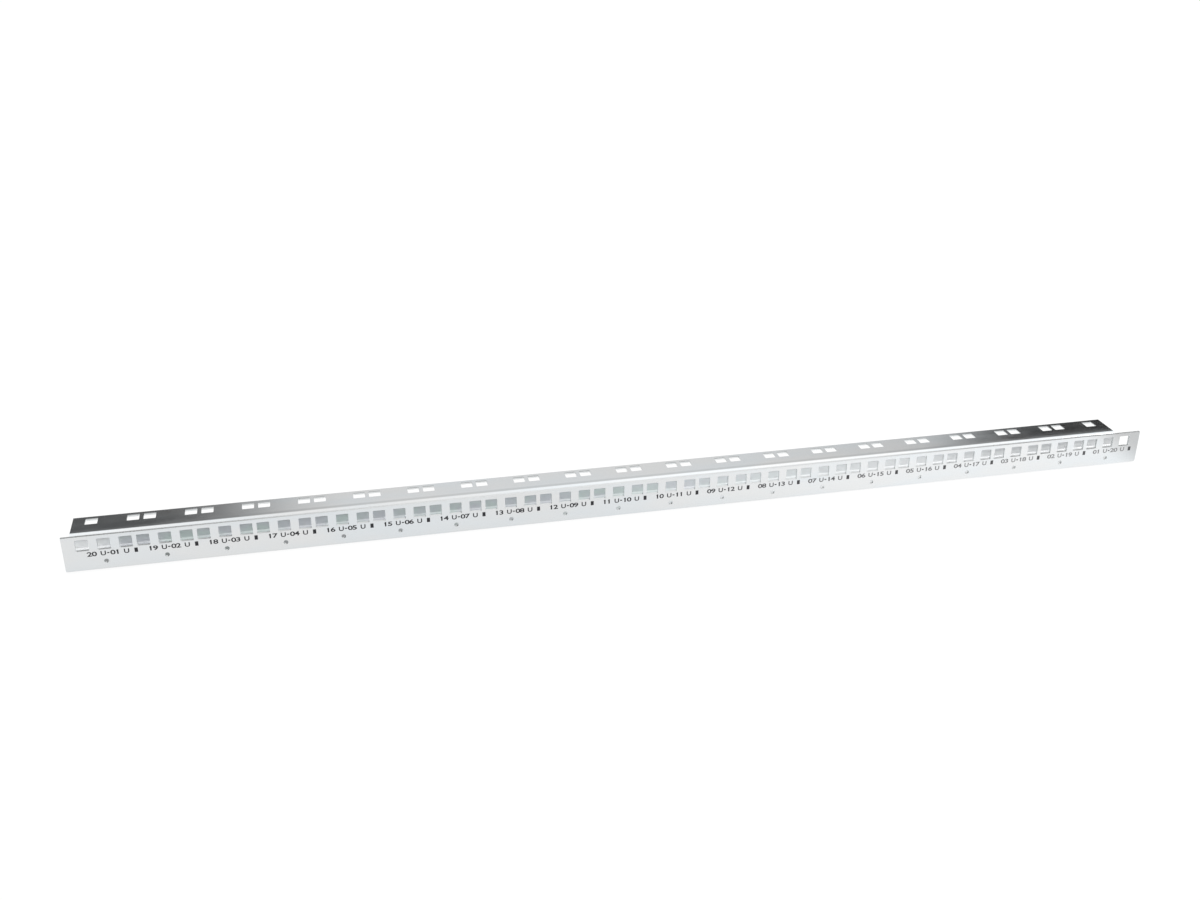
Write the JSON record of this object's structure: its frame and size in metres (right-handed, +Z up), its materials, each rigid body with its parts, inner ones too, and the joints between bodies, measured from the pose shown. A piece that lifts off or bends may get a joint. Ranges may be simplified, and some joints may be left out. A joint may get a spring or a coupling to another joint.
{
  "type": "rack mounting rail",
  "caption": "Straight stepped mounting rail folded from zinc plated sheet steel, with a numbered front flange of square cage nut holes and a punched rear flange.",
  "frame": {"origin": "middle of the footprint, at the height of the floor web's underside", "axes": "+X along the rail, the way its numbers read; the front flange faces -Y; +Z up"},
  "size_m": [0.905, 0.063, 0.0305],
  "materials": {
    "zinc_plated_steel": "bright clear zinc plating on cold rolled sheet"
  },
  "bodies": {
    "root": {"mounting_rail": "zinc_plated_steel"}
  },
  "joints": []
}
